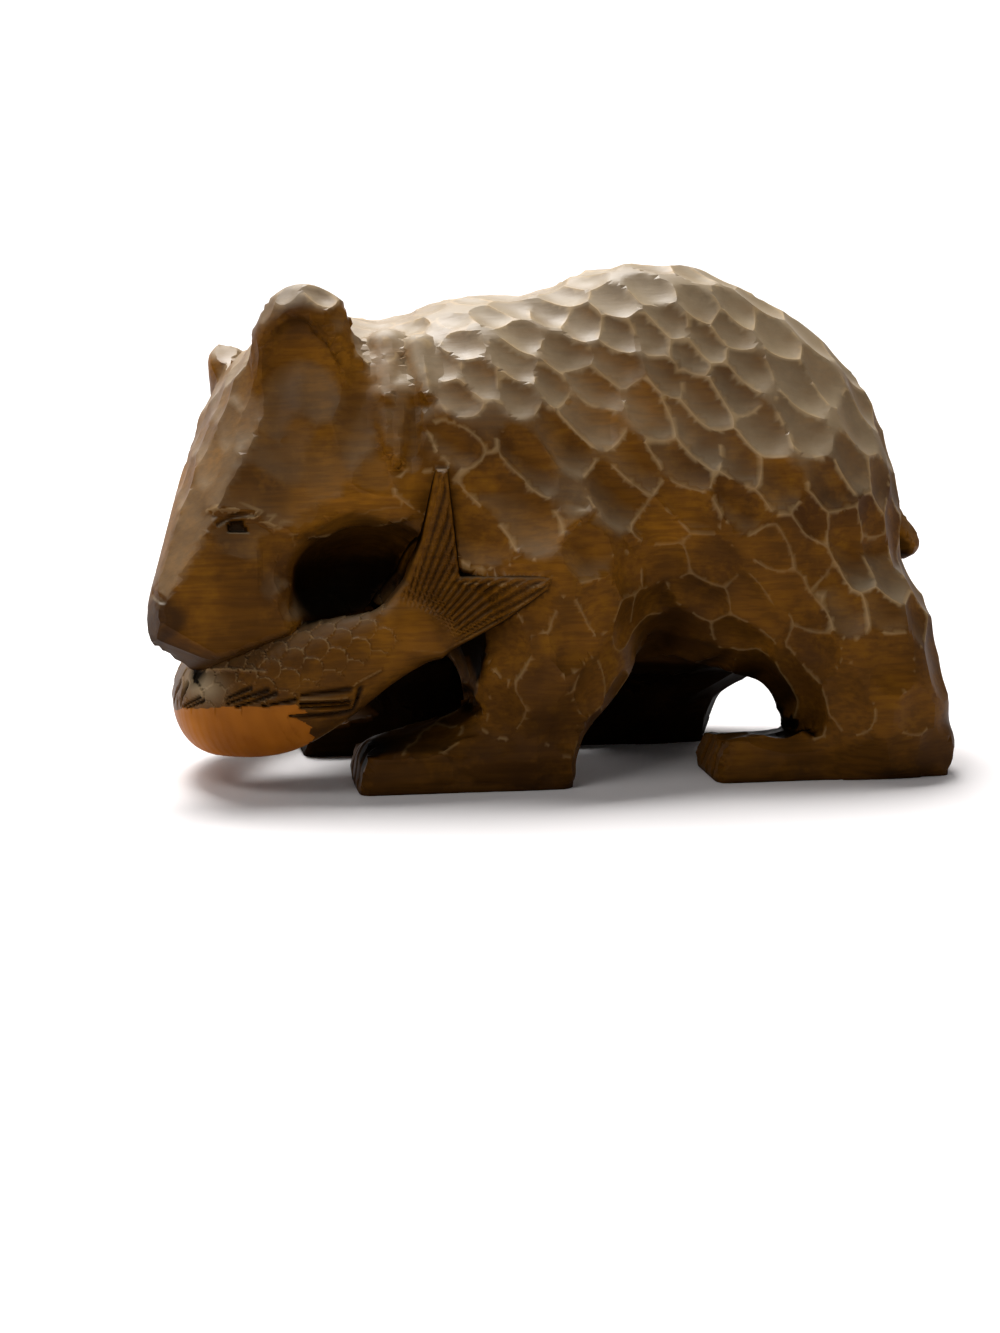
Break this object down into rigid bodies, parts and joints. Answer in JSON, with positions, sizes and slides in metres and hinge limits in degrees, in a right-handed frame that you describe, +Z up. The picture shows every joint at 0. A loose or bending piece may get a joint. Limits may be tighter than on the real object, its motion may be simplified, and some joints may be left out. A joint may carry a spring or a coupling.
{
  "type": "carved wooden bear",
  "caption": "Carved wooden bear walking on all fours, coat worked in gouge facets, holding a salmon crosswise in its mouth.",
  "frame": {"origin": "middle of the figure's box at the ground, under the belly", "axes": "+X from the nose to the tail, so the bear faces -X; -Y is the bear's left side, the side the salmon's tail lies on; +Z up"},
  "size_m": [0.1552, 0.0678, 0.0978],
  "materials": {
    "wood": "stained and varnished, carved facets"
  },
  "bodies": {
    "root": {"carved_bear": "wood"}
  },
  "joints": []
}
